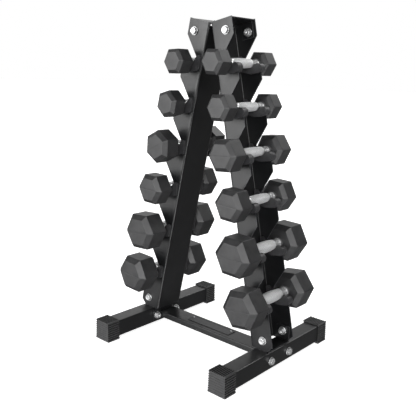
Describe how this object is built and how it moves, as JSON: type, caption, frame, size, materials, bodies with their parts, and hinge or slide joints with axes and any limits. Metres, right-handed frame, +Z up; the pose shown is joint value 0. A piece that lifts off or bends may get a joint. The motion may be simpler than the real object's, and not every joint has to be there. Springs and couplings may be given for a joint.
{
  "type": "dumbbell rack",
  "caption": "A-frame dumbbell rack: two toothed channels lean together over square-tube feet, and hex dumbbells lie in plastic cradles in their notches.",
  "frame": {"origin": "on the floor, in the middle of the rack's outline", "axes": "+X to the right along the crossbar, +Y to the rear along the feet, +Z up"},
  "size_m": [0.5333, 0.493, 0.9541],
  "materials": {
    "powder_coat": "black semi-gloss powder coat",
    "bright_plating": "bright plating, zinc on the bolts and chrome on the dumbbell handles",
    "cradle_plastic": "black moulded plastic, satin",
    "cap_plastic": "black moulded plastic, ribbed and matte",
    "coated_iron": "black rubber coating over iron heads, chromed handle",
    "plate_metal": "blank dark plate, satin"
  },
  "bodies": {
    "rack": {"base_bolt_left_front": "bright_plating", "base_bolt_left_rear": "bright_plating", "base_bolt_right_front": "bright_plating", "base_bolt_right_rear": "bright_plating", "cradle_left_1_front": "cradle_plastic", "cradle_left_1_rear": "cradle_plastic", "cradle_left_2_front": "cradle_plastic", "cradle_left_2_rear": "cradle_plastic", "cradle_left_3_front": "cradle_plastic", "cradle_left_3_rear": "cradle_plastic", "cradle_left_4_front": "cradle_plastic", "cradle_left_4_rear": "cradle_plastic", "cradle_left_5_front": "cradle_plastic", "cradle_left_5_rear": "cradle_plastic", "cradle_left_6_front": "cradle_plastic", "cradle_left_6_rear": "cradle_plastic", "cradle_right_1_front": "cradle_plastic", "cradle_right_1_rear": "cradle_plastic", "cradle_right_2_front": "cradle_plastic", "cradle_right_2_rear": "cradle_plastic", "cradle_right_3_front": "cradle_plastic", "cradle_right_3_rear": "cradle_plastic", "cradle_right_4_front": "cradle_plastic", "cradle_right_4_rear": "cradle_plastic", "cradle_right_5_front": "cradle_plastic", "cradle_right_5_rear": "cradle_plastic", "cradle_right_6_front": "cradle_plastic", "cradle_right_6_rear": "cradle_plastic", "crossbar": "powder_coat", "foot_bolt_left_front": "bright_plating", "foot_bolt_left_rear": "bright_plating", "foot_bolt_right_front": "bright_plating", "foot_bolt_right_rear": "bright_plating", "foot_cap_left_front": "cap_plastic", "foot_cap_left_rear": "cap_plastic", "foot_cap_right_front": "cap_plastic", "foot_cap_right_rear": "cap_plastic", "foot_left": "powder_coat", "foot_right": "powder_coat", "nameplate": "plate_metal", "top_bolt_left_front": "bright_plating", "top_bolt_left_rear": "bright_plating", "top_bolt_right_front": "bright_plating", "top_bolt_right_rear": "bright_plating", "top_bracket": "powder_coat", "upright_left": "powder_coat", "upright_right": "powder_coat"},
    "weight_left_1": {"dumbbell_left_1": "coated_iron"},
    "weight_left_2": {"dumbbell_left_2": "coated_iron"},
    "weight_left_3": {"dumbbell_left_3": "coated_iron"},
    "weight_left_4": {"dumbbell_left_4": "coated_iron"},
    "weight_left_5": {"dumbbell_left_5": "coated_iron"},
    "weight_left_6": {"dumbbell_left_6": "coated_iron"},
    "weight_right_1": {"dumbbell_right_1": "coated_iron"},
    "weight_right_2": {"dumbbell_right_2": "coated_iron"},
    "weight_right_3": {"dumbbell_right_3": "coated_iron"},
    "weight_right_4": {"dumbbell_right_4": "coated_iron"},
    "weight_right_5": {"dumbbell_right_5": "coated_iron"},
    "weight_right_6": {"dumbbell_right_6": "coated_iron"}
  },
  "joints": [
    {"name": "lift_left_1", "type": "slide", "parent": "rack", "child": "weight_left_1", "axis": [-0.766, 0, 0.6428], "range_m": [0, 0.16]},
    {"name": "lift_left_2", "type": "slide", "parent": "rack", "child": "weight_left_2", "axis": [-0.766, 0, 0.6428], "range_m": [0, 0.16]},
    {"name": "lift_left_3", "type": "slide", "parent": "rack", "child": "weight_left_3", "axis": [-0.766, 0, 0.6428], "range_m": [0, 0.16]},
    {"name": "lift_left_4", "type": "slide", "parent": "rack", "child": "weight_left_4", "axis": [-0.766, 0, 0.6428], "range_m": [0, 0.16]},
    {"name": "lift_left_5", "type": "slide", "parent": "rack", "child": "weight_left_5", "axis": [-0.766, 0, 0.6428], "range_m": [0, 0.16]},
    {"name": "lift_left_6", "type": "slide", "parent": "rack", "child": "weight_left_6", "axis": [-0.766, 0, 0.6428], "range_m": [0, 0.16]},
    {"name": "lift_right_1", "type": "slide", "parent": "rack", "child": "weight_right_1", "axis": [0.766, 0, 0.6428], "range_m": [0, 0.16]},
    {"name": "lift_right_2", "type": "slide", "parent": "rack", "child": "weight_right_2", "axis": [0.766, 0, 0.6428], "range_m": [0, 0.16]},
    {"name": "lift_right_3", "type": "slide", "parent": "rack", "child": "weight_right_3", "axis": [0.766, 0, 0.6428], "range_m": [0, 0.16]},
    {"name": "lift_right_4", "type": "slide", "parent": "rack", "child": "weight_right_4", "axis": [0.766, 0, 0.6428], "range_m": [0, 0.16]},
    {"name": "lift_right_5", "type": "slide", "parent": "rack", "child": "weight_right_5", "axis": [0.766, 0, 0.6428], "range_m": [0, 0.16]},
    {"name": "lift_right_6", "type": "slide", "parent": "rack", "child": "weight_right_6", "axis": [0.766, 0, 0.6428], "range_m": [0, 0.16]}
  ]
}
